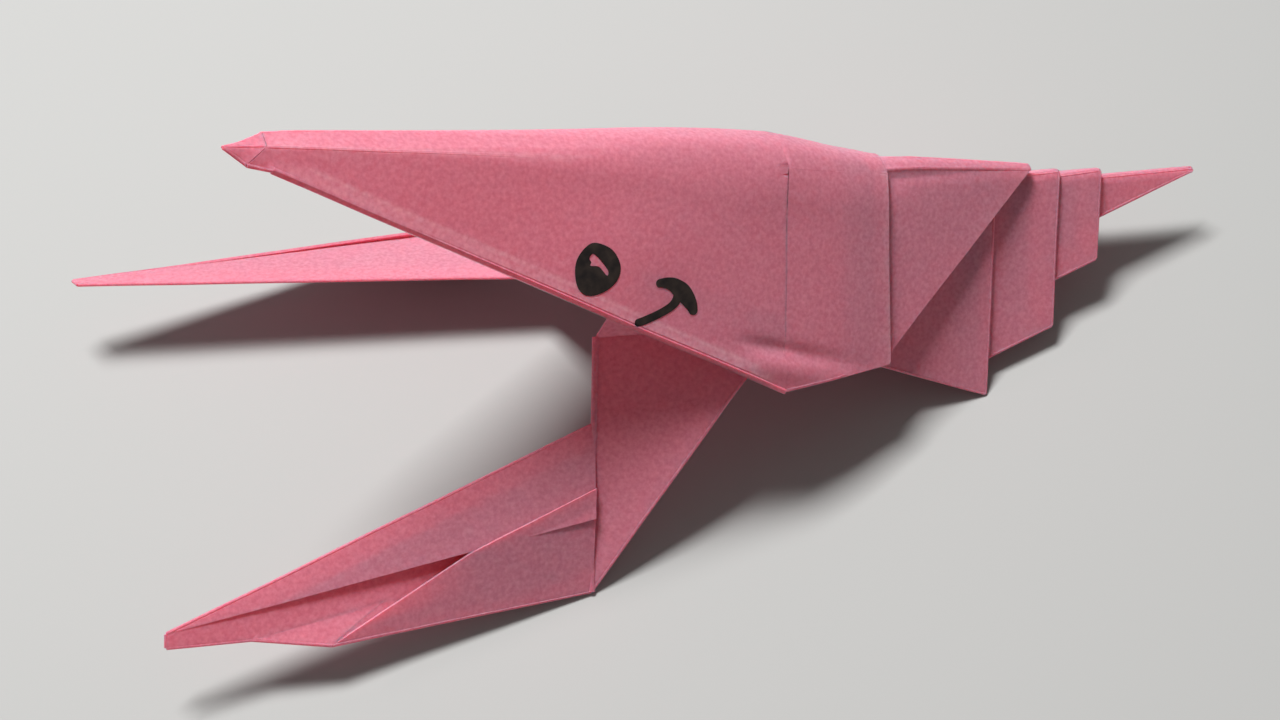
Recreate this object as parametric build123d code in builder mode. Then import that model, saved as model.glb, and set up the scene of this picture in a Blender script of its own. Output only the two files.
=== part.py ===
from build123d import *
from math import cos, radians, sin, tan
import os

# Origami lobster, folded from one square sheet through the bird base. One wing of the base is the
# head, the other wing is pleated into the tail, and the two long points are the claws.
# The nose points to -X and the tail to +X. Head and tail are the same on both sides of the XZ plane,
# and the two claws are alike but bent by hand to their own angles.
# The origin is on the floor, under the middle of the length. Corners lie in the middle of the paper.

# Sheet and folds: every wall is two layers of paper pressed together
sheet_side = 150.0
wall = 0.4
fold_share = 0.75
point_angle = 22.5
layer_step = 1.4
layer_gap = 0.35

# Head: a tent with a narrow flat back, highest at the nose and widest at the cheeks
nose_height = 64.6
brow_run = 4.8
brow_half_width = 1.2
brow_height = 64.1
chin_lead = 1.3
chin_drop = 2.9
throat_run = 1.7
throat_drop = 2.2
back_run = 70.0
back_height = 39.3
back_half_width = 3.0
cheek_run = 63.0
cheek_height = 18.9
cheek_half_width = 23.4
cheek_fold_radius = 0.45
pleat_run = 84.6
pleat_height = 31.8
pleat_half_width = 1.9
pleat_edge_share = 0.88
pleat_edge_skew = 1.0
head_pleat_depth = 7.5

# Carapace: the flap that comes out from under the head's pleat and ends in a point on the tail
carapace_run = 107.6
carapace_half_width = 0.4
carapace_edge_share = 0.22

# Tail: the pleated wing, a tent that stands on its two front corners
tail_run = 102.3
tail_pitch = 19.0
tail_splay = 41.2
tail_front_run = 25.0
belly_angle = 16.0
pleat_steps = (10.7, 7.1)
pleat_depths = (5.7, 7.6, 6.7)
tail_stub = 1.0

# Claws: an arm from the head's hinge line down to the elbow, and an open pincer forward from there
elbow_run = 32.8
elbow_half_widths = (33.4, 31.0)
arm_edge_radius = 0.5
arm_edge_length = 33.6
arm_root_share = 0.68
shoulder_share = 0.31
shoulder_rise_share = 0.22
crease_length = 22.2
crease_skew = 20.0
claw_leans = (43.4, 24.5)
claw_reach = 21.3
claw_tip_half_width = 28.8
claw_tip_heights = (11.8, 12.5)
claw_tip_width = 1.8
flap_shares = (0.55, 0.71)
flap_rise = 1.6

# Near pincer: its lower flap laps over the upper one, and the jaw has a turned-up rim
lap_share = 0.37
lap_rise = 1.6
jaw_corner_share = 0.3
jaw_share = 0.63
jaw_swell = 3.3
jaw_rise = 1.3
rim_root_share = 0.5
rim_depth = 1.5
rim_tip_share = 0.81
rim_swell = 1.9

# Far pincer: beyond its wide flap the outer edge stands up as a low wall, and the flap ends in a bite
lip_run = 0.9
lip_rise = 1.1
bite_share = 0.72
bite_spread_share = 0.068

# Sizes that follow from the sheet and the folds
fold_radius = wall * fold_share
wing_length = sheet_side / 2
wing_slope = tan(radians(point_angle))
wing_half_width = wing_length * wing_slope
tip_length = wing_length - tail_stub - sum(pleat_steps) - sum(pleat_depths) * 2
pitch = radians(tail_pitch)
splay = radians(tail_splay)
tail_reach = tail_run + (sum(pleat_steps) + tip_length) * cos(pitch)
length_middle = (tail_reach - claw_reach) / 2


def corner(run, half_width, height, side=-1):
    """A corner of the folded sheet: its run back from the nose, half width and height."""
    return Vector(run - length_middle, half_width * side, height)


def on_ridge(point):
    """The place in the middle plane that is level with a corner."""
    return Vector(point.X, 0, point.Z)


def outward(start, along, down):
    """The unit normal of a panel, on the side that faces up."""
    normal = (along - start).cross(down - start).normalized()
    return normal if normal.Z > 0 else normal * -1


def away(start, end, inside):
    """The unit way in a panel that is square to an edge and leads away from an inside corner."""
    edge = (end - start).normalized()
    inward = inside - start
    return (edge * edge.dot(inward) - inward).normalized()


# Head corners: the pleat's edge is parallel to the hinge line from the back to the cheek
nose = corner(0, 0, nose_height)
brow = corner(brow_run, brow_half_width, brow_height)
back = corner(back_run, back_half_width, back_height)
cheek = corner(cheek_run, cheek_half_width, cheek_height)
pleat = corner(pleat_run, pleat_half_width, pleat_height)
pleat_low = pleat + (cheek - back) * pleat_edge_share + (pleat - back).normalized() * pleat_edge_skew
edge_way = (cheek - brow).normalized()
chin = brow - edge_way * chin_lead + away(brow, cheek, back) * chin_drop
throat = brow + edge_way * throat_run + away(brow, cheek, back) * throat_drop

# The pleat turns forward under the head, and the carapace starts from its inner fold
under_pleat = (back - pleat).normalized() * head_pleat_depth - outward(back, pleat, cheek) * layer_step
valley = pleat + under_pleat
valley_low = pleat_low + under_pleat

# Tail corners: ways along the ridge, square to it in the middle plane, and down the near wall
ridge_way = Vector(cos(pitch), 0, -sin(pitch))
ridge_down = Vector(-sin(pitch), 0, -cos(pitch))
wall_way = ridge_down * cos(splay) - Vector(0, sin(splay), 0)
tail_top = corner(tail_run, 0, fold_radius - wing_half_width * wall_way.Z)
tail_low = tail_top + wall_way * wing_half_width
front_top = tail_top - ridge_way * tail_front_run
front_low = front_top + wall_way * (wing_half_width - tail_front_run * tan(radians(belly_angle)))

# The carapace's point lies just above the tail's ridge
carapace_rise = (wall / 2 + fold_radius + layer_gap) / cos(pitch)
carapace_height = tail_top.Z - (carapace_run - tail_run) * tan(pitch) + carapace_rise
carapace = corner(carapace_run, carapace_half_width, carapace_height)
carapace_low = valley_low + (carapace - valley) * carapace_edge_share

# Head and tail panels of the near half, each by its corners
panels = [
    (nose, brow, chin),
    (nose, brow, on_ridge(brow)),
    (brow, back, cheek, throat, chin),
    (on_ridge(brow), brow, back, on_ridge(back)),
    (back, pleat, pleat_low, cheek),
    (on_ridge(back), back, pleat, on_ridge(pleat)),
    (pleat, pleat_low, valley_low, valley),
    (on_ridge(pleat), pleat, valley, on_ridge(valley)),
    (valley, valley_low, carapace_low, carapace),
    (on_ridge(valley), valley, carapace, on_ridge(carapace)),
    (valley, valley_low, front_low),
    (valley, front_low, front_top),
    (on_ridge(valley), valley, front_top),
    (front_top, tail_top, tail_low, front_low),
]

# Rounded folds between them, each by its two ends
folds = [
    (nose, brow),
    (nose, chin),
    (chin, throat),
    (brow, back),
    (back, pleat),
    (cheek, pleat_low),
    (on_ridge(pleat), pleat),
    (pleat, pleat_low),
    (on_ridge(valley), valley),
    (valley, valley_low),
    (valley, carapace),
    (front_top, front_low),
    (front_low, tail_low),
    (front_top, tail_top),
    (tail_top, tail_low),
]

# Tail pleats: the paper runs on to the tip, so each fold is as wide as the wing is at that place
fold_top = tail_top
fold_low = tail_low
paper_left = wing_length
for depth, step in zip(pleat_depths, pleat_steps + (tip_length,)):
    inner_top = fold_top - ridge_way * depth + ridge_down * (layer_step / sin(splay))
    inner_low = inner_top + wall_way * ((paper_left - depth) * wing_slope - layer_step / tan(splay))
    paper_left = paper_left - depth * 2 - step
    next_top = fold_top + ridge_way * step
    next_low = next_top + wall_way * (paper_left * wing_slope)
    panels.append((fold_top, fold_low, inner_low, inner_top))
    panels.append((inner_top, inner_low, next_low, next_top))
    folds.append((fold_top, inner_top))
    folds.append((inner_top, inner_low))
    folds.append((inner_top, next_top))
    folds.append((inner_low, next_low))
    folds.append((next_top, next_low))
    fold_top = next_top
    fold_low = next_low


def claw_corners(side, elbow_half_width, lean, tip_height, flap_share):
    """The corners of one claw, with its pincer strip leaning up from the floor towards the body."""
    head_brow = corner(brow_run, brow_half_width, brow_height, side)
    head_back = corner(back_run, back_half_width, back_height, side)
    head_cheek = corner(cheek_run, cheek_half_width, cheek_height, side)
    inset = outward(head_brow, head_back, head_cheek) * (wall / 2)
    elbow = corner(elbow_run, elbow_half_width, arm_edge_radius, side)
    skew = radians(crease_skew)
    flat_way = Vector(sin(skew), -side * cos(skew), 0)
    crease_way = flat_way * cos(radians(lean)) + Vector(0, 0, sin(radians(lean)))
    crease = elbow + crease_way * crease_length
    tip = corner(-claw_reach, claw_tip_half_width, tip_height, side)
    lift = outward(elbow, tip, crease)
    swell = away(elbow, tip, crease)
    seam = crease + (elbow - crease) * flap_share + lift * flap_rise
    return {
        "shoulder": head_cheek
        + (head_brow - head_cheek) * shoulder_share
        + (head_back - head_cheek) * shoulder_rise_share
        - inset,
        "root": head_back + (head_cheek - head_back) * arm_root_share - inset,
        "arm_top": elbow + crease_way * arm_edge_length,
        "elbow": elbow,
        "crease": crease,
        "tip": tip,
        "tip_low": tip - crease_way * claw_tip_width,
        "seam": seam,
        "lap": crease + (elbow - crease) * lap_share + lift * lap_rise,
        "jaw_corner": seam + (tip - seam) * jaw_corner_share + lift * layer_gap,
        "jaw": elbow + (tip - elbow) * jaw_share + swell * jaw_swell + lift * jaw_rise,
        "rim_root": elbow + (tip - elbow) * rim_root_share - swell * rim_depth,
        "rim_tip": elbow + (tip - elbow) * rim_tip_share + swell * rim_swell,
        "lip": elbow + crease_way * lip_run + lift * lip_rise,
        "bite": seam + (tip - seam) * bite_share + (seam - crease) * bite_spread_share,
    }


arm_panels = (
    ("arm_top", "elbow", "root"),
    ("arm_top", "root", "shoulder"),
)
near_panels = arm_panels + (
    ("crease", "elbow", "rim_root", "rim_tip", "tip_low", "tip"),
    ("elbow", "rim_root", "jaw"),
    ("rim_root", "rim_tip", "jaw"),
    ("crease", "seam", "tip"),
    ("elbow", "lap", "jaw_corner"),
    ("elbow", "jaw_corner", "jaw"),
)
far_panels = arm_panels + (
    ("crease", "elbow", "tip_low", "tip"),
    ("crease", "seam", "bite", "tip"),
    ("elbow", "lip", "tip_low"),
)
arm_folds = (
    ("arm_top", "root"),
    ("elbow", "root"),
    ("crease", "tip"),
    ("tip_low", "tip"),
)
near_folds = arm_folds + (
    ("elbow", "jaw"),
    ("jaw", "rim_tip"),
    ("rim_tip", "tip_low"),
)
far_folds = arm_folds + (
    ("elbow", "tip_low"),
)


def panel_plane(corners):
    """The plane of a flat panel, with its first edge along the plane's own X."""
    return Plane(origin=corners[0], x_dir=corners[1] - corners[0], z_dir=outward(*corners[:3]))


with BuildPart() as folded_sheet:
    # Head and tail, near half and its mirror image
    for corners in panels:
        flat = panel_plane(corners)
        with BuildSketch(flat):
            with BuildLine():
                Polyline([flat.to_local_coords(point) for point in corners], close=True)
            make_face()
        extrude(amount=wall / 2, both=True)
    for start, end in folds:
        with BuildSketch(Plane(origin=start, z_dir=end - start)):
            Circle(fold_radius)
        extrude(amount=(end - start).length)
    with BuildSketch(Plane(origin=throat, z_dir=cheek - throat)):
        Circle(cheek_fold_radius)
    extrude(amount=(cheek - throat).length)
    mirror(about=Plane.XZ)
    # Claws, the near one and the far one
    near_claw, far_claw = (
        claw_corners(*bend)
        for bend in zip((-1, 1), elbow_half_widths, claw_leans, claw_tip_heights, flap_shares)
    )
    for claw, claw_panels, claw_folds in (
        (near_claw, near_panels, near_folds),
        (far_claw, far_panels, far_folds),
    ):
        for names in claw_panels:
            flat = panel_plane([claw[name] for name in names])
            with BuildSketch(flat):
                with BuildLine():
                    Polyline([flat.to_local_coords(claw[name]) for name in names], close=True)
                make_face()
            extrude(amount=wall / 2, both=True)
        for first, last in claw_folds:
            with BuildSketch(Plane(origin=claw[first], z_dir=claw[last] - claw[first])):
                Circle(fold_radius)
            extrude(amount=(claw[last] - claw[first]).length)
        with BuildSketch(Plane(origin=claw["elbow"], z_dir=claw["arm_top"] - claw["elbow"])):
            Circle(arm_edge_radius)
        extrude(amount=arm_edge_length)

folded_sheet.part.label = "folded_sheet"
os.makedirs("parts", exist_ok=True)
export_step(folded_sheet.part, "parts/folded_sheet.step")
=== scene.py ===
from math import cos, exp, pi, radians, sin

import bmesh
import bpy
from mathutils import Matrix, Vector, noise


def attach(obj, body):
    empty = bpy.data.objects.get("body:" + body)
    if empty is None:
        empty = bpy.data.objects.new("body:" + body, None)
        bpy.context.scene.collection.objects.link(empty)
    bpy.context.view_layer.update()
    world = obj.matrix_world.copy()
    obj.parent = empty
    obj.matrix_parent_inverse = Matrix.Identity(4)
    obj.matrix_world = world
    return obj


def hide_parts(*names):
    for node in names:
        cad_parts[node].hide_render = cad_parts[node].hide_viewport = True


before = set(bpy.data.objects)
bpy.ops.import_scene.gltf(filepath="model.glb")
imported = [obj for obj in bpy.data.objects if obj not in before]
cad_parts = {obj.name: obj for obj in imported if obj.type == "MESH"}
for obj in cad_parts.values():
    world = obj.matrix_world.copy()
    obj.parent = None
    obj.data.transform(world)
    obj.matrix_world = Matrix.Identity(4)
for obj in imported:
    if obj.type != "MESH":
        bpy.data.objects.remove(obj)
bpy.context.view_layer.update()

# Folded sheet
# One square of soft pink craft paper, dyed right through, folded by hand into head, tail and claws.
# Its folds are those of the frame's solid, gone soft along the back and pressed a little out of true.
mm = 0.001
merge_distance = 0.0005 * mm
flat_angle = radians(0.2)
crease_angle = radians(25)
lattice_pitch = 3.0 * mm
# Corners of the head's near half in the frame, in mm; the far half is its mirror image
brow_corner = Vector((-51.77, -1.2, 64.1))
back_corner = Vector((13.43, -3.0, 39.3))
cheek_corner = Vector((6.43, -23.4, 18.9))
throat_corner = Vector((-51.85, -3.07, 62.05))
pleat_corner = Vector((28.03, -1.9, 31.8))
pleat_foot = Vector((22.76, -19.79, 13.39))
carapace_point = Vector((51.03, -0.4, 21.47))
along_edge = (throat_corner - cheek_corner).normalized()
wall_out = (cheek_corner - brow_corner).cross(back_corner - brow_corner).normalized()
up_wall = along_edge.cross(wall_out)
edge_length = (throat_corner - cheek_corner).length


def cut_planes(work, normal, places, wanted):
    """Cuts the wanted faces along planes square to the normal, so that they have points to bend at."""
    faces = [face for face in work.faces if wanted(face.calc_center_median() / mm)]
    edges = dict.fromkeys(edge for face in faces for edge in face.edges)
    verts = dict.fromkeys(vert for face in faces for vert in face.verts)
    pieces = [*verts, *edges, *faces]
    for place in places:
        pieces = bmesh.ops.bisect_plane(
            work,
            geom=pieces,
            plane_co=normal * (place * mm),
            plane_no=normal,
            dist=merge_distance,
        )["geom"]


def blend(stops, place):
    """A value read off a run of stops: straight between two of them, level beyond the ends."""
    if place < stops[0][0]:
        return stops[0][1]
    for (start, low), (end, high) in zip(stops, stops[1:]):
        if place < end:
            share = (place - start) / (end - start)
            return low + (high - low) * share
    return stops[-1][1]


# Ridge of head, carapace and tail, by X in mm: half width, steepness of the sides, and how far the
# paper curves to each side of its two creases
ridge_half_widths = ((-51.8, 1.2), (13.4, 3.0), (28.0, 1.9), (51.0, 0.4), (53.0, 0.0))
ridge_slopes = ((13.0, 1.12), (15.0, 1.2), (28.0, 1.2), (32.0, 1.1))
ridge_reaches = (
    (-52.0, 0.2), (-35.0, 0.5), (-15.0, 1.6), (2.0, 3.6),
    (28.0, 4.2), (33.0, 2.4), (51.0, 1.1), (78.0, 0.9),
)
# Height of the ridge, and the share of its rounded folds that is pressed flat
ridge_heights = ((-51.8, 64.1), (13.4, 39.3), (28.0, 31.8))
bead_shares = ((-38.0, 0.0), (-18.0, 1.0), (27.0, 1.0), (28.3, 0.0))
# The outer face stands this far above the sheet's middle, and its creases this far outside. A rounded
# fold lies within the band about that face
face_rise = 0.214
crease_shift = 0.084
fold_band = (-0.2, 0.3)


def ridge_sink(place):
    """How far a point of the ridge sinks where the paper curves over its creases."""
    half_width = blend(ridge_half_widths, place.x) + crease_shift
    reach = blend(ridge_reaches, place.x)
    slope = blend(ridge_slopes, place.x)
    off = abs(place.y) - half_width
    proud = place.z - blend(ridge_heights, place.x) - face_rise + slope * max(0.0, off)
    sink = blend(bead_shares, place.x) * proud if fold_band[0] < proud < fold_band[1] else 0.0
    for side in (-1, 1):
        off = side * place.y - half_width
        if abs(off) < reach:
            sink += slope * (reach - abs(off)) ** 2 / (4 * reach)
    return sink


# Soft bend of the head's side along its hinge line, from the back to the cheek: the slope that it
# turns by, how far it reaches to each side, and how it sets in below the back
hinge_out = Vector((0.293, -0.722, 0.622)).normalized()
hinge_way = (cheek_corner - back_corner).normalized()
hinge_across = hinge_way.cross(hinge_out).normalized()
hinge_turn = 0.162
hinge_reach = 12.0
hinge_fades = ((3.0, 0.0), (8.0, 1.0))
# Flare of the head's lower edge, what lies near enough to belong to the edge, how far out its fold may
# stand by its height on the wall, and how all this fades towards the ends of the edge
flare_depth = 0.15
flare_width = 2.4
edge_slack = 1.0
edge_limits = ((-0.5, -0.35), (0.1, 0.2))
edge_fades = ((0.0, 0.0), (8.0, 1.0), (edge_length - 4.0, 1.0), (edge_length, 0.5))
# Dent above the cheek's corner, from end to end, and the corner bent out below it
dent_start = Vector((1.0, -18.8, 26.2))
dent_end = Vector((20.5, -20.5, 14.3))
dent_depth = 0.5
dent_width = 1.0
corner_bend = 0.55
corner_width = 1.7
corner_drop = 2.5
dent_shares = ((0.0, 0.0), (0.2, 1.0), (0.45, 0.9), (0.75, 0.35), (1.0, 0.0))
dent_way = (dent_end - dent_start).normalized()
dent_length = (dent_end - dent_start).length
dent_up = hinge_out.cross(dent_way).normalized()
dent_up = dent_up if dent_up.z > 0 else -dent_up
# What lies nearer than this to the plane of the head's side belongs to it
near_wall = 2.5


def side_push(place, near):
    """How a point of the head's side moves at the hinge, the lower edge and, if near, at the cheek."""
    push = Vector((0.0, 0.0, 0.0))
    if place.x > pleat_corner.x:
        return push
    off = (place - back_corner).dot(hinge_across)
    if abs(off) < hinge_reach and abs((place - back_corner).dot(hinge_out)) < near_wall:
        fade = blend(hinge_fades, -place.y)
        push -= hinge_out * fade * hinge_turn * (hinge_reach - abs(off)) ** 2 / (4 * hinge_reach)
    run = (place - cheek_corner).dot(along_edge)
    up = (place - cheek_corner).dot(up_wall)
    proud = (place - cheek_corner).dot(wall_out)
    if abs(proud) < edge_slack and -edge_slack < up < flare_width and 0.0 < run < edge_length:
        fade = blend(edge_fades, run)
        push += wall_out * flare_depth * fade * (1.0 - up / flare_width) ** 2
        push -= wall_out * fade * max(0.0, proud - blend(edge_limits, up))
    share = blend(dent_shares, (place - dent_start).dot(dent_way) / dent_length)
    if near and share > 0.0 and abs((place - dent_start).dot(hinge_out)) < near_wall:
        up = (place - dent_start).dot(dent_up)
        push -= hinge_out * dent_depth * share * exp(-((up / dent_width) ** 2))
        push += hinge_out * corner_bend * share * exp(-(((up + corner_drop) / corner_width) ** 2))
    return push


# Other places pushed by hand: centre, reach along X, Y and Z, and how far each way
presses = (
    # The back swells behind the eye and sinks on the far side before the pleat
    ((-1.0, 1.0, 44.0), (12.0, 6.0, 20.0), (0.0, 0.0, 0.8)),
    ((25.5, 4.2, 32.5), (6.0, 3.2, 12.0), (0.0, 0.0, -1.1)),
    # The nose is pinched from the far side and bent to the near one
    ((-54.8, 2.7, 63.4), (2.4, 1.7, 3.0), (0.0, -2.0, -0.2)),
    ((-56.6, 0.0, 64.6), (2.6, 2.0, 3.0), (-0.1, -1.1, 1.2)),
    # The side of the head is slightly full
    ((-14.0, -10.0, 38.0), (14.0, 6.0, 7.0), (0.1, -0.35, 0.3)),
)
# Slow ripple of the whole sheet
ripple_pitch = 15.0
ripple_depth = 0.12
ripple_seed = 11
noise.seed_set(ripple_seed)


def pressed(place):
    """Where a point of the folded sheet goes when its folds soften and the paper is handled."""
    spot = place / mm
    moved = spot.copy()
    moved.z -= ridge_sink(spot)
    push = side_push(Vector((spot.x, -abs(spot.y), spot.z)), spot.y < 0.0)
    moved += push if spot.y < 0.0 else Vector((push.x, -push.y, push.z))
    for centre, reach, shift in presses:
        off = [(spot[axis] - centre[axis]) / reach[axis] for axis in range(3)]
        moved += Vector(shift) * exp(-sum(value * value for value in off))
    moved += noise.noise_vector(spot / ripple_pitch) * ripple_depth
    # What stands on the floor stays above it
    moved.z = max(moved.z, min(spot.z, ripple_depth))
    return moved * mm


def on_side(along, up):
    """A point of the head's near side, from mm along its lower edge and up from it."""
    return cheek_corner + along_edge * along + up_wall * up


# Folds that are rubbed pale: ends, reach to each side, and how pale
worn_folds = (
    (on_side(71.0, 1.8), on_side(6.0, 1.4), 0.32, 1.0),
    (on_side(74.0, 0.9), on_side(3.0, 0.7), 0.6, 0.5),
    (pleat_corner, pleat_foot, 0.35, 0.5),
    (brow_corner, brow_corner.lerp(back_corner, 0.55), 0.3, 0.6),
    (pleat_foot, carapace_point, 0.3, 0.2),
)


def wear(place):
    """How much a point of the sheet is rubbed, from 0 to 1."""
    spot = place / mm
    most = 0.0
    for start, end, reach, paleness in worn_folds:
        way = end - start
        share = min(max((spot - start).dot(way) / way.length_squared, 0.0), 1.0)
        off = (spot - start - way * share).length / reach
        most = max(most, paleness * exp(-off * off))
    return most


sheet_work = bmesh.new()
sheet_work.from_mesh(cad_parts["folded_sheet"].data)
bmesh.ops.remove_doubles(sheet_work, verts=sheet_work.verts, dist=merge_distance)
bmesh.ops.dissolve_limit(
    sheet_work, angle_limit=flat_angle, verts=sheet_work.verts[:], edges=sheet_work.edges[:]
)
# The solid's rounded folds stand a little proud and are pressed flat. Their facets are known by their
# mean width, which is kept for each face
narrow_facet = 0.45 * mm
fold_proud = 0.08 * mm
narrow = {}
for face in sheet_work.faces:
    narrow[face] = face.calc_area() / max(edge.calc_length() for edge in face.edges)
sheet_work.normal_update()
for vert in sheet_work.verts:
    if all(narrow[face] < narrow_facet for face in vert.link_faces):
        vert.co -= vert.normal * fold_proud


def from_run(place, start, end):
    """How far a point is from a straight run between two others."""
    share = (place - start).dot(end - start) / (end - start).length_squared
    return (place - start - (end - start) * min(max(share, 0.0), 1.0)).length


# The solid has a fine slit along each hinge line and across the back between them. The bottom of each
# slit is raised to the face of the paper, so that no wall is left inside the sheet. A slit's walls are
# known by their width and their perimeter
half_wall = 0.2
slit_wall_width = 1.1 * half_wall
hinge_slit_perimeter = 10.0
back_slit_perimeter = 4.0
back_middle = Vector((back_corner.x, 0.0, back_corner.z))
back_out = Vector((0.41, 0.0, 0.91)).normalized()
slits = (
    (back_corner, cheek_corner, hinge_out, hinge_slit_perimeter),
    (back_middle, back_corner, back_out, back_slit_perimeter),
)
for start, end, outward, least_perimeter in slits:
    walls_of = {}
    for face in sheet_work.faces:
        middle = face.calc_center_median() / mm
        middle.y = -abs(middle.y)
        if from_run(middle, start, end) < half_wall and narrow[face] < slit_wall_width * mm:
            if face.calc_perimeter() > least_perimeter * mm:
                for vert in face.verts:
                    walls_of.setdefault(vert, []).append(face)
    rims = [vert for vert, walls in walls_of.items() if len(walls) == 1]
    for vert, walls in walls_of.items():
        if len(walls) > 1:
            side = 1.0 if vert.co.y < 0.0 else -1.0
            vert.co += Vector((outward.x, outward.y * side, outward.z)) * (half_wall * mm)
            nearest = min(rims, key=lambda rim: (rim.co - vert.co).length)
            if (nearest.co - vert.co).length < half_wall * mm:
                vert.co = nearest.co
# A lattice over the whole sheet
for axis in range(3):
    low = min(vert.co[axis] for vert in sheet_work.verts)
    high = max(vert.co[axis] for vert in sheet_work.verts)
    square = Vector([float(axis == other) for other in range(3)])
    count = int((high - low) / lattice_pitch)
    places = [(low + step * lattice_pitch) / mm for step in range(1, count + 1)]
    cut_planes(sheet_work, square, places, lambda spot: True)
# Closer cuts, in mm: pitch, number to each side, and how far their faces reach. They run along the ridge
# of the head and carapace, then along the tail's
sideways = Vector((0.0, 1.0, 0.0))
ridge_cut_pitch = 0.4
ridge_cut_count = 19
ridge_cut_side = 8.0
ridge_cut_ends = (-40.0, 28.5)
ridge_least_height = 26.0
cut_planes(
    sheet_work,
    sideways,
    [step * ridge_cut_pitch for step in range(-ridge_cut_count, ridge_cut_count + 1)],
    lambda spot: abs(spot.y) < ridge_cut_side
    and ridge_cut_ends[0] < spot.x < ridge_cut_ends[1]
    and spot.z > ridge_least_height,
)
tail_cut_pitch = 0.3
tail_cut_count = 9
tail_cut_side = 3.0
tail_cut_start = 27.0
cut_planes(
    sheet_work,
    sideways,
    [step * tail_cut_pitch for step in range(-tail_cut_count, tail_cut_count + 1)],
    lambda spot: abs(spot.y) < tail_cut_side and spot.x > tail_cut_start,
)
# Closer cuts along the head's lower edge and the dent: pitch, first and last step across them, and how
# far their faces reach off the wall, across and along it
edge_cut_pitch = 0.3
edge_cut_steps = (-3, 10)
edge_cut_depth = 0.8
edge_cut_height = 5.0
cut_planes(
    sheet_work,
    up_wall,
    [
        cheek_corner.dot(up_wall) + step * edge_cut_pitch
        for step in range(edge_cut_steps[0], edge_cut_steps[1] + 1)
    ],
    lambda spot: abs((spot - cheek_corner).dot(wall_out)) < edge_cut_depth
    and abs((spot - cheek_corner).dot(up_wall)) < edge_cut_height
    and (spot - cheek_corner).dot(along_edge) > 0.0,
)
dent_cut_pitch = 0.4
dent_cut_steps = (-14, 7)
dent_cut_depth = 2.0
dent_cut_height = 7.0
dent_cut_lead = 2.0
dent_least_side = 14.0
cut_planes(
    sheet_work,
    dent_up,
    [
        dent_start.dot(dent_up) + step * dent_cut_pitch
        for step in range(dent_cut_steps[0], dent_cut_steps[1] + 1)
    ],
    lambda spot: spot.y < -dent_least_side
    and abs((spot - dent_start).dot(hinge_out)) < dent_cut_depth
    and abs((spot - dent_start).dot(dent_up)) < dent_cut_height
    and -dent_cut_lead < (spot - dent_start).dot(dent_way) < dent_length,
)
bmesh.ops.triangulate(sheet_work, faces=sheet_work.faces[:])
worn = [wear(vert.co) for vert in sheet_work.verts]
for vert in sheet_work.verts:
    vert.co = pressed(vert.co)

# Stretch of the back with no crease left, by X and by the distance from the ridge's edge, in mm
soft_ridge_ends = (-26.0, 27.0)
soft_ridge_sides = (-4.0, 1.5)


def on_soft_ridge(place):
    """Whether a point lies where the back has no crease left."""
    spot = place / mm
    off = abs(spot.y) - blend(ridge_half_widths, spot.x)
    return (
        soft_ridge_ends[0] < spot.x < soft_ridge_ends[1]
        and soft_ridge_sides[0] < off < soft_ridge_sides[1]
        and spot.z > ridge_least_height
    )


# What is not a crease is shaded as one surface, and at the nose only the sharpest folds are creases
nose_angle = radians(55)
for face in sheet_work.faces:
    face.smooth = True
for edge in sheet_work.edges:
    middle = (edge.verts[0].co + edge.verts[1].co) / 2
    limit = nose_angle if middle.x < throat_corner.x * mm else crease_angle
    edge.smooth = on_soft_ridge(middle) or edge.calc_face_angle(0.0) < limit
sheet_mesh = bpy.data.meshes.new("folded_sheet_paper")
sheet_work.to_mesh(sheet_mesh)
sheet_work.free()
worn_layer = sheet_mesh.attributes.new("fold_wear", "FLOAT", "POINT")
worn_layer.data.foreach_set("value", worn)


def as_plain_mesh(name, source):
    """A new object with the source object's finished mesh; the source is removed."""
    evaluated = source.evaluated_get(bpy.context.evaluated_depsgraph_get())
    mesh = bpy.data.meshes.new_from_object(evaluated)
    bpy.data.objects.remove(source)
    made = bpy.data.objects.new(name, mesh)
    mesh.name = name
    bpy.context.scene.collection.objects.link(made)
    return made


sheet_draft = bpy.data.objects.new("sheet_draft", sheet_mesh)
bpy.context.scene.collection.objects.link(sheet_draft)
flatten = sheet_draft.modifiers.new("panel_normals", "WEIGHTED_NORMAL")
flatten.mode = "FACE_AREA"
large_panel_weight = 60
flatten.weight = large_panel_weight
flatten.keep_sharp = True
paper_sheet = as_plain_mesh("paper_sheet", sheet_draft)

# Paper grain, shared by the bare paper and by the paper under the marker's ink
grain = bpy.data.node_groups.new("paper_grain", "ShaderNodeTree")
grain.interface.new_socket("Vector", in_out="INPUT", socket_type="NodeSocketVector")
for name in ("Felt Scale", "Fibre Scale", "Cloud Scale"):
    grain.interface.new_socket(name, in_out="INPUT", socket_type="NodeSocketFloat")
for name in ("Height", "Cloud"):
    grain.interface.new_socket(name, in_out="OUTPUT", socket_type="NodeSocketFloat")


def add_node(tree, kind, settings=None, values=None):
    """A shader node with its settings and its plain input values."""
    made = tree.nodes.new(kind)
    for name, value in (settings or {}).items():
        setattr(made, name, value)
    for name, value in (values or {}).items():
        made.inputs[name].default_value = value
    return made


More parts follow.
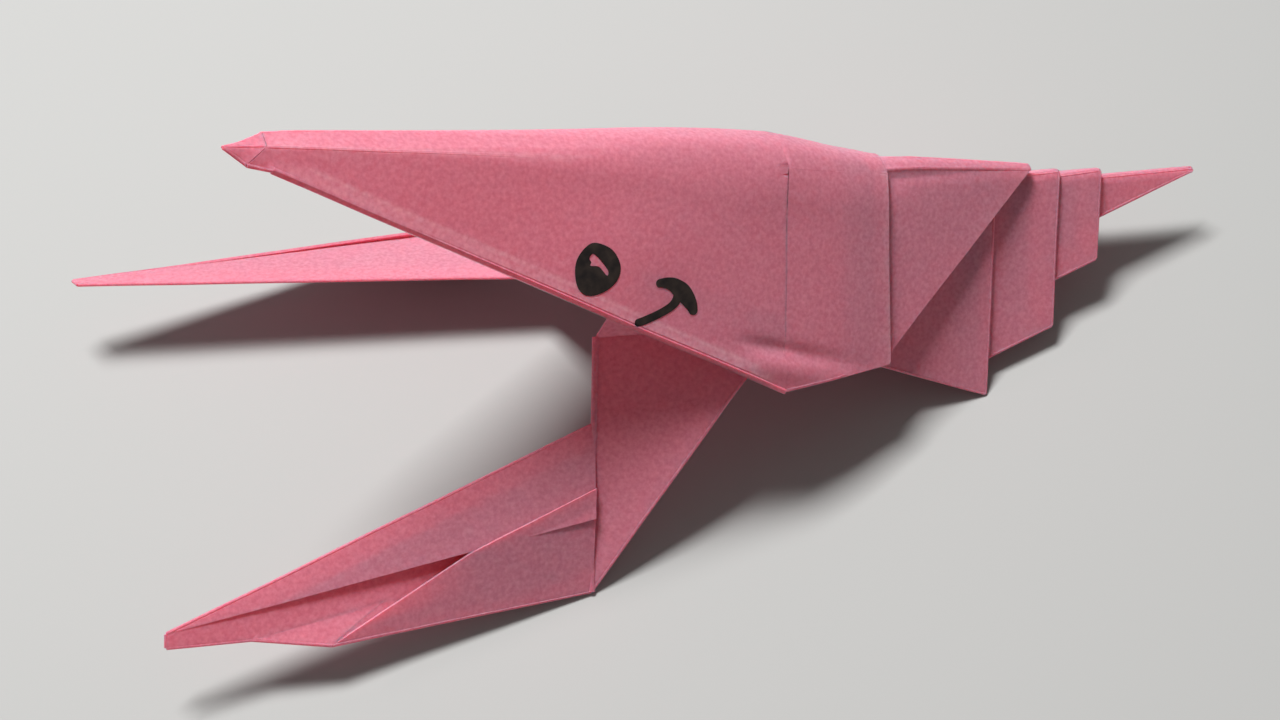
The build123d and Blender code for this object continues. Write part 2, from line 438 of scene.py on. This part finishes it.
grain_in = grain.nodes.new("NodeGroupInput")
grain_out = grain.nodes.new("NodeGroupOutput")
felt = add_node(grain, "ShaderNodeTexNoise", values={"Detail": 2.0, "Roughness": 0.5})
fibre = add_node(
    grain,
    "ShaderNodeTexNoise",
    {"noise_type": "RIDGED_MULTIFRACTAL"},
    {"Detail": 2.0, "Roughness": 0.5, "Distortion": 0.6},
)
cloud = add_node(grain, "ShaderNodeTexNoise", values={"Detail": 2.0, "Roughness": 0.5})
fibre_share = 0.15
height = add_node(grain, "ShaderNodeMix", {"data_type": "FLOAT"}, {"Factor": fibre_share})
for texture, scale in ((felt, "Felt Scale"), (fibre, "Fibre Scale"), (cloud, "Cloud Scale")):
    grain.links.new(grain_in.outputs["Vector"], texture.inputs["Vector"])
    grain.links.new(grain_in.outputs[scale], texture.inputs["Scale"])
grain.links.new(felt.outputs["Fac"], height.inputs["A"])
grain.links.new(fibre.outputs["Fac"], height.inputs["B"])
grain.links.new(height.outputs["Result"], grain_out.inputs["Height"])
grain.links.new(cloud.outputs["Fac"], grain_out.inputs["Cloud"])
grain_scales = {"Felt Scale": 1700.0, "Fibre Scale": 650.0, "Cloud Scale": 60.0}

# Pink paper: the grain moves its tone, soft clouds dull it in places, and folds are rubbed paler
deep_pink = (0.68, 0.2, 0.275, 1.0)
light_pink = (0.83, 0.305, 0.395, 1.0)
rubbed_pink = (0.92, 0.58, 0.64, 1.0)
cloud_tint = (0.93, 0.90, 0.91, 1.0)
pink_paper = bpy.data.materials.new("pink_paper")
pink_paper.use_nodes = True
paper_tree = pink_paper.node_tree
paper_shader = paper_tree.nodes["Principled BSDF"]
paper_place = paper_tree.nodes.new("ShaderNodeTexCoord")
paper_grain = add_node(paper_tree, "ShaderNodeGroup", {"node_tree": grain}, grain_scales)
paper_tone = add_node(paper_tree, "ShaderNodeValToRGB")
for stop, position, pink in zip(paper_tone.color_ramp.elements, (0.25, 0.75), (deep_pink, light_pink)):
    stop.position = position
    stop.color = pink
paper_cloud = add_node(
    paper_tree,
    "ShaderNodeMix",
    {"data_type": "RGBA", "blend_type": "MULTIPLY"},
    {"B": cloud_tint},
)
paper_wear = add_node(paper_tree, "ShaderNodeAttribute", {"attribute_name": "fold_wear"})
wear_patch = add_node(paper_tree, "ShaderNodeMath", {"operation": "MULTIPLY"})
worn_paper = add_node(paper_tree, "ShaderNodeMix", {"data_type": "RGBA"}, {"B": rubbed_pink})
paper_bump = add_node(paper_tree, "ShaderNodeBump", values={"Strength": 0.3, "Distance": 0.05 * mm})
links = paper_tree.links
links.new(paper_place.outputs["Object"], paper_grain.inputs["Vector"])
links.new(paper_grain.outputs["Height"], paper_tone.inputs["Fac"])
links.new(paper_grain.outputs["Cloud"], paper_cloud.inputs["Factor"])
links.new(paper_tone.outputs["Color"], paper_cloud.inputs["A"])
links.new(paper_wear.outputs["Fac"], wear_patch.inputs[0])
links.new(paper_grain.outputs["Height"], wear_patch.inputs[1])
links.new(wear_patch.outputs["Value"], worn_paper.inputs["Factor"])
links.new(paper_cloud.outputs["Result"], worn_paper.inputs["A"])
links.new(worn_paper.outputs["Result"], paper_shader.inputs["Base Color"])
links.new(paper_grain.outputs["Height"], paper_bump.inputs["Height"])
links.new(paper_bump.outputs["Normal"], paper_shader.inputs["Normal"])
paper_shader.inputs["Roughness"].default_value = 0.85
paper_shader.inputs["Specular IOR Level"].default_value = 0.2
paper_shader.inputs["Subsurface Weight"].default_value = 1.0
paper_shader.inputs["Subsurface Radius"].default_value = (1.0, 0.12, 0.15)
paper_shader.inputs["Subsurface Scale"].default_value = 1.6 * mm
paper_sheet.data.materials.clear()
paper_sheet.data.materials.append(pink_paper)
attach(paper_sheet, "root")
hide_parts("folded_sheet")

# Marker face
# An eye and a smile, drawn on the near side of the head with a black felt marker.
# The ink is a film on the paper and takes its grain.

# Points of the drawing, in mm along the head's lower edge from the cheek and up the wall from it, and
# the widths of its two strokes
eye_outline = (
    (33.5, 7.6), (31.1, 7.6), (29.3, 6.2), (28.95, 4.3), (30.0, 2.4),
    (31.8, 1.15), (33.4, 1.4), (34.6, 2.9), (35.1, 4.7), (34.6, 6.6),
)
eye_glint = (
    (33.3, 6.2), (31.9, 5.7), (30.65, 5.0), (30.55, 4.4),
    (32.0, 5.0), (33.1, 4.7), (33.2, 5.15), (33.6, 5.5),
)
mouth_line = ((24.0, 0.55), (23.4, 1.0), (22.4, 1.9), (21.4, 2.9), (20.5, 4.0), (20.1, 4.9), (20.1, 5.8))
mouth_widths = (1.0, 1.05, 1.05, 1.05, 1.1, 1.2, 1.3)
cheek_line = ((23.2, 6.2), (22.2, 6.6), (21.1, 6.7), (19.8, 6.4), (18.7, 5.9), (17.8, 5.3), (17.3, 4.8))
cheek_widths = (1.1, 1.45, 1.9, 2.3, 2.1, 1.7, 1.3)
curve_steps = 6
cap_steps = 8


def smooth_run(points, closed):
    """Points of a smooth curve through the given ones."""
    count = len(points)
    run = []
    for index in range(count if closed else count - 1):
        if closed:
            near = [points[(index + shift) % count] for shift in (-1, 0, 1, 2)]
        else:
            near = [points[min(max(index + shift, 0), count - 1)] for shift in (-1, 0, 1, 2)]
        before, start, end, after = (Vector(point) for point in near)
        for step in range(curve_steps):
            t = step / curve_steps
            run.append(
                start
                + (end - before) * (t / 2)
                + (before * 2 - start * 5 + end * 4 - after) * (t * t / 2)
                + (start * 3 - before - end * 3 + after) * (t * t * t / 2)
            )
    if not closed:
        run.append(Vector(points[-1]))
    return run


def stroke_outline(line, widths):
    """The closed outline of a pen stroke with round ends, from its middle line and its widths."""
    run = smooth_run([(x, y, width) for (x, y), width in zip(line, widths)], False)
    left, right = [], []
    for index, point in enumerate(run):
        ahead = run[min(index + 1, len(run) - 1)] - run[max(index - 1, 0)]
        square = Vector((-ahead.y, ahead.x)).normalized()
        left.append(point.to_2d() + square * point.z / 2)
        right.append(point.to_2d() - square * point.z / 2)
    outline = left[:]
    for edge, middle, turn_from in ((left, run[-1], left[-1]), (right, run[0], right[0])):
        arm = turn_from - middle.to_2d()
        for step in range(1, cap_steps):
            angle = -pi * step / cap_steps
            turned = Vector((
                arm.x * cos(angle) - arm.y * sin(angle),
                arm.x * sin(angle) + arm.y * cos(angle),
            ))
            outline.append(middle.to_2d() + turned)
        if edge is left:
            outline.extend(reversed(right))
    return outline


# Ink film: fills a flat outline, lays it on the wall and lifts it clear of the paper
film = bpy.data.node_groups.new("ink_film", "GeometryNodeTree")
film.interface.new_socket("Outline", in_out="INPUT", socket_type="NodeSocketGeometry")
for name, kind in (
    ("Paper", "NodeSocketObject"),
    ("Corner", "NodeSocketVector"),
    ("Along Edge", "NodeSocketVector"),
    ("Up Wall", "NodeSocketVector"),
    ("Outward", "NodeSocketVector"),
    ("Clearance", "NodeSocketFloat"),
    ("Rise", "NodeSocketFloat"),
    ("Ink", "NodeSocketMaterial"),
):
    film.interface.new_socket(name, in_out="INPUT", socket_type=kind)
film.interface.new_socket("Film", in_out="OUTPUT", socket_type="NodeSocketGeometry")
film_in = film.nodes.new("NodeGroupInput")
film_out = film.nodes.new("NodeGroupOutput")


def vector_math(operation, *sources):
    """A vector sum in the film's tree, fed by the given sockets."""
    made = add_node(film, "ShaderNodeVectorMath", {"operation": operation})
    sockets = (made.inputs["Vector"], made.inputs["Scale"]) if operation == "SCALE" else made.inputs
    for source, socket in zip(sources, sockets):
        film.links.new(source, socket)
    return made.outputs["Vector"]


fill = film.nodes.new("GeometryNodeFillCurve")
finer = add_node(film, "GeometryNodeSubdivideMesh", values={"Level": 2})
spot = film.nodes.new("GeometryNodeInputPosition")
spot_parts = film.nodes.new("ShaderNodeSeparateXYZ")
film.links.new(spot.outputs["Position"], spot_parts.inputs["Vector"])
on_wall = vector_math(
    "ADD",
    film_in.outputs["Corner"],
    vector_math(
        "ADD",
        vector_math("SCALE", film_in.outputs["Along Edge"], spot_parts.outputs["X"]),
        vector_math("SCALE", film_in.outputs["Up Wall"], spot_parts.outputs["Y"]),
    ),
)
above = vector_math(
    "ADD", on_wall, vector_math("SCALE", film_in.outputs["Outward"], film_in.outputs["Clearance"])
)
inward = add_node(film, "ShaderNodeVectorMath", {"operation": "SCALE"}, {"Scale": -1.0})
film.links.new(film_in.outputs["Outward"], inward.inputs[0])
paper_info = add_node(film, "GeometryNodeObjectInfo", {"transform_space": "RELATIVE"})
film.links.new(film_in.outputs["Paper"], paper_info.inputs["Object"])
land = film.nodes.new("GeometryNodeRaycast")
film.links.new(paper_info.outputs["Geometry"], land.inputs["Target Geometry"])
film.links.new(above, land.inputs["Source Position"])
film.links.new(inward.outputs["Vector"], land.inputs["Ray Direction"])
lifted = vector_math(
    "ADD",
    land.outputs["Hit Position"],
    vector_math("SCALE", film_in.outputs["Outward"], film_in.outputs["Rise"]),
)
lay = film.nodes.new("GeometryNodeSetPosition")
realize = film.nodes.new("GeometryNodeRealizeInstances")
dress = film.nodes.new("GeometryNodeSetMaterial")
film.links.new(film_in.outputs["Outline"], fill.inputs["Curve"])
film.links.new(fill.outputs["Mesh"], finer.inputs["Mesh"])
film.links.new(finer.outputs["Mesh"], lay.inputs["Geometry"])
film.links.new(lifted, lay.inputs["Position"])
film.links.new(lay.outputs["Geometry"], realize.inputs["Geometry"])
film.links.new(realize.outputs["Geometry"], dress.inputs["Geometry"])
film.links.new(film_in.outputs["Ink"], dress.inputs["Material"])
film.links.new(dress.outputs["Geometry"], film_out.inputs["Film"])

# Marker ink: brown-black, thinner in patches, over the paper's own grain
full_black = (0.012, 0.008, 0.008, 1.0)
thin_black = (0.05, 0.033, 0.026, 1.0)
patch_scale = 600.0
marker_ink = bpy.data.materials.new("marker_ink")
marker_ink.use_nodes = True
ink_tree = marker_ink.node_tree
ink_shader = ink_tree.nodes["Principled BSDF"]
ink_place = ink_tree.nodes.new("ShaderNodeTexCoord")
ink_grain = add_node(ink_tree, "ShaderNodeGroup", {"node_tree": grain}, grain_scales)
ink_grain.inputs["Cloud Scale"].default_value = patch_scale
ink_tone = add_node(ink_tree, "ShaderNodeValToRGB")
for stop, position, black in zip(ink_tone.color_ramp.elements, (0.35, 0.8), (full_black, thin_black)):
    stop.position = position
    stop.color = black
ink_bump = add_node(ink_tree, "ShaderNodeBump", values={"Strength": 0.3, "Distance": 0.06 * mm})
ink_tree.links.new(ink_place.outputs["Object"], ink_grain.inputs["Vector"])
ink_tree.links.new(ink_grain.outputs["Cloud"], ink_tone.inputs["Fac"])
ink_tree.links.new(ink_tone.outputs["Color"], ink_shader.inputs["Base Color"])
ink_tree.links.new(ink_grain.outputs["Height"], ink_bump.inputs["Height"])
ink_tree.links.new(ink_bump.outputs["Normal"], ink_shader.inputs["Normal"])
ink_shader.inputs["Roughness"].default_value = 0.7
ink_shader.inputs["Specular IOR Level"].default_value = 0.3

# Each stroke's outlines and its rise above the paper: the cheek line lies over the end of the mouth
ink_thickness = 0.03 * mm
ink_rise = 0.03 * mm
upper_ink_rise = 0.04 * mm
ray_clearance = 4.0 * mm
drawing = {
    "marker_eye": ((smooth_run(eye_outline, True), smooth_run(eye_glint, True)), ink_rise),
    "marker_mouth": ((stroke_outline(mouth_line, mouth_widths),), ink_rise),
    "marker_cheek": ((stroke_outline(cheek_line, cheek_widths),), upper_ink_rise),
}
for name, (outlines, rise) in drawing.items():
    flat = bpy.data.curves.new(name + "_outline", "CURVE")
    flat.dimensions = "2D"
    flat.fill_mode = "NONE"
    for outline in outlines:
        spline = flat.splines.new("POLY")
        spline.points.add(len(outline) - 1)
        for place, point in zip(outline, spline.points):
            point.co = (place.x * mm, place.y * mm, 0.0, 1.0)
        spline.use_cyclic_u = True
    draft = bpy.data.objects.new(name + "_draft", flat)
    bpy.context.scene.collection.objects.link(draft)
    lay_ink = draft.modifiers.new("ink_film", "NODES")
    lay_ink.node_group = film
    values = {
        "Paper": paper_sheet,
        "Corner": cheek_corner * mm,
        "Along Edge": along_edge,
        "Up Wall": up_wall,
        "Outward": wall_out,
        "Clearance": ray_clearance,
        "Rise": rise,
        "Ink": marker_ink,
    }
    for socket in film.interface.items_tree:
        if socket.name in values:
            lay_ink[socket.identifier] = values[socket.name]
    thicken = draft.modifiers.new("ink_thickness", "SOLIDIFY")
    thicken.thickness = ink_thickness
    stroke = as_plain_mesh(name, draft)
    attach(stroke, "root")

# Floor
# A plain pale sheet under the lobster and far around it. It is not part of the object.
floor_grey = (0.5, 0.5, 0.49, 1.0)
floor_half = 3.0
floor_mesh = bpy.data.meshes.new("floor")
floor_mesh.from_pydata(
    [(-floor_half, -floor_half, 0), (floor_half, -floor_half, 0),
     (floor_half, floor_half, 0), (-floor_half, floor_half, 0)],
    [],
    [(0, 1, 2, 3)],
)
floor = bpy.data.objects.new("floor", floor_mesh)
bpy.context.scene.collection.objects.link(floor)
floor_paint = bpy.data.materials.new("floor_paint")
floor_paint.use_nodes = True
floor_shader = floor_paint.node_tree.nodes["Principled BSDF"]
floor_shader.inputs["Base Color"].default_value = floor_grey
floor_shader.inputs["Roughness"].default_value = 0.9
floor_shader.inputs["Specular IOR Level"].default_value = 0.1
floor_mesh.materials.append(floor_paint)

# Studio light
# One soft lamp above and behind the head, and weak even light all round.
lamp_place = Vector((-0.1225, 0.2125, 0.67))
lamp_aim = Vector((-0.01, 0.0, 0.02))
lamp_size = 0.2
lamp_power = 6.2
room_white = (1.0, 0.99, 0.97, 1.0)
room_strength = 0.15
scene = bpy.context.scene
scene.view_settings.view_transform = "Standard"
world = bpy.data.worlds.new("studio")
scene.world = world
world.use_nodes = True
background = world.node_tree.nodes["Background"]
background.inputs["Color"].default_value = room_white
background.inputs["Strength"].default_value = room_strength
key_light = bpy.data.lights.new("key_lamp", "AREA")
key_light.size = lamp_size
key_light.energy = lamp_power
key_lamp = bpy.data.objects.new("key_lamp", key_light)
key_lamp.location = lamp_place
key_lamp.rotation_euler = (lamp_aim - lamp_place).to_track_quat("-Z", "Y").to_euler()
scene.collection.objects.link(key_lamp)

# Camera
# It looks down on the near side from in front, as in the picture.
camera_place = Vector((-69.5, -189.0, 273.3)) * mm
camera_aim = Vector((-5.6, 0.6, 0.0)) * mm
camera_data = bpy.data.cameras.new("camera")
camera_data.lens = 67.5
camera_data.sensor_width = 36.0
camera_data.clip_start = 10.0 * mm
camera = bpy.data.objects.new("camera", camera_data)
camera.location = camera_place
camera.rotation_euler = (camera_aim - camera_place).to_track_quat("-Z", "Y").to_euler()
scene.collection.objects.link(camera)
scene.camera = camera
